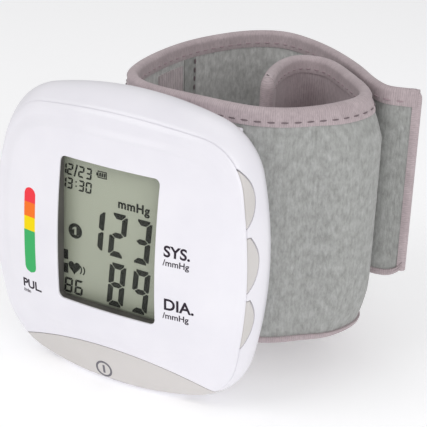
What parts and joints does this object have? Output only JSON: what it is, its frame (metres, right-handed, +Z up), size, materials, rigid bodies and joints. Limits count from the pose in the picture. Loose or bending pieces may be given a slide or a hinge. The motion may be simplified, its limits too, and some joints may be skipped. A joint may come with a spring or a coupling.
{
  "type": "wrist blood pressure monitor",
  "caption": "Squarish white monitor with a recessed display and side keys on a grey cloth wrist cuff, curled closed with its tail free.",
  "frame": {"origin": "middle of the small flat under the case, where it stands", "axes": "+X to the display's right, +Y from the display's face back through the wrist, +Z up"},
  "size_m": [0.0974, 0.0944, 0.0815],
  "materials": {
    "case_white": "moulded, semi-gloss",
    "key_grey": "moulded, satin",
    "gasket_dark": "matt",
    "window_clear": "clear",
    "lcd_green": "grey-green reflective",
    "tray_plastic": "matt",
    "strip_rubber": "matt",
    "board_green": "solder-masked",
    "chip_black": "matt",
    "steel": "plated",
    "motor_steel": "plated",
    "pump_plastic": "matt",
    "air_plastic": "matt",
    "silicone": "translucent",
    "cell_wrap": "printed wrap",
    "loop_cloth": "brushed loop",
    "lining_cloth": "knit",
    "edge_tape": "woven tape",
    "hook_tape": "hook tape",
    "air_bag": "film",
    "stiffener": "sheet"
  },
  "bodies": {
    "monitor": {"front_cover": "case_white", "rear_shell": "case_white", "display_gasket": "gasket_dark", "display_window": "window_clear", "lcd_panel": "lcd_green", "lcd_holder": "tray_plastic", "contact_strip": "strip_rubber", "key_switches": "chip_black", "main_board": "board_green", "controller_chip": "chip_black", "buzzer": "chip_black", "pressure_sensor": "chip_black", "pump_motor": "motor_steel", "pump_head": "pump_plastic", "pump_sleeve": "silicone", "air_block": "air_plastic", "valve_tube": "silicone", "valve_body": "motor_steel", "valve_spring": "steel", "battery_cells": "cell_wrap", "battery_contacts": "steel", "battery_springs": "steel", "housing_screws": "steel", "cuff_rivets": "steel", "cuff_front_cloth": "loop_cloth", "cuff_stiffener": "stiffener", "cuff_air_bag": "air_bag", "cuff_front_lining": "lining_cloth", "cuff_front_top_edge": "edge_tape", "cuff_front_bottom_edge": "edge_tape"},
    "power_key": {"power_key": "key_grey"},
    "upper_side_key": {"upper_side_key": "key_grey"},
    "middle_side_key": {"middle_side_key": "key_grey"},
    "lower_side_key": {"lower_side_key": "key_grey"},
    "battery_cover": {"battery_cover": "case_white"},
    "pump_rotor": {"pump_rotor": "steel"},
    "valve_plunger": {"valve_plunger": "steel"},
    "curl": {"cuff_curl_cloth": "loop_cloth", "cuff_curl_stiffener": "stiffener", "cuff_curl_lining": "lining_cloth", "cuff_curl_top_edge": "edge_tape", "cuff_curl_bottom_edge": "edge_tape"},
    "strap": {"cuff_strap_cloth": "loop_cloth", "cuff_strap_lining": "lining_cloth", "cuff_strap_top_edge": "edge_tape", "cuff_strap_bottom_edge": "edge_tape", "hook_patch": "hook_tape", "lining_seam": "lining_cloth"},
    "tail": {"cuff_tail_cloth": "loop_cloth", "cuff_tail_top_edge": "edge_tape", "cuff_tail_bottom_edge": "edge_tape"}
  },
  "joints": [
    {"name": "power_key_press", "type": "slide", "parent": "monitor", "child": "power_key", "axis": [0, 1, 0], "range_m": [0, 0.0005], "stiffness_N_per_m": 300},
    {"name": "upper_side_key_press", "type": "slide", "parent": "monitor", "child": "upper_side_key", "axis": [-1, 0, 0], "range_m": [0, 0.0005], "stiffness_N_per_m": 300},
    {"name": "middle_side_key_press", "type": "slide", "parent": "monitor", "child": "middle_side_key", "axis": [-1, 0, 0], "range_m": [0, 0.0005], "stiffness_N_per_m": 300},
    {"name": "lower_side_key_press", "type": "slide", "parent": "monitor", "child": "lower_side_key", "axis": [-1, 0, 0], "range_m": [0, 0.0005], "stiffness_N_per_m": 300},
    {"name": "battery_cover_off", "type": "slide", "parent": "monitor", "child": "battery_cover", "axis": [-1, 0, 0], "range_m": [0, 0.015]},
    {"name": "pump_spin", "type": "hinge", "parent": "monitor", "child": "pump_rotor", "pos_m": [0, 0.0028, 0.063], "axis": [1, 0, 0], "continuous": true},
    {"name": "valve_travel", "type": "slide", "parent": "monitor", "child": "valve_plunger", "axis": [0, 0, -1], "range_m": [0, 0.0006], "stiffness_N_per_m": 150, "deforming": ["valve_spring"]},
    {"name": "curl_flex", "type": "hinge", "parent": "monitor", "child": "curl", "pos_m": [0.0452, 0.0414, 0.0435], "axis": [0, 0, 1], "range_deg": [0, 8], "stiffness_Nm_per_rad": 0.05},
    {"name": "strap_open", "type": "hinge", "parent": "monitor", "child": "strap", "pos_m": [-0.0139, 0.022, 0.0435], "axis": [0, 0, 1], "range_deg": [0, 40]},
    {"name": "tail_peel", "type": "hinge", "parent": "strap", "child": "tail", "pos_m": [0.0426, 0.0546, 0.0435], "axis": [0, 0, 1], "range_deg": [0, 50]}
  ]
}
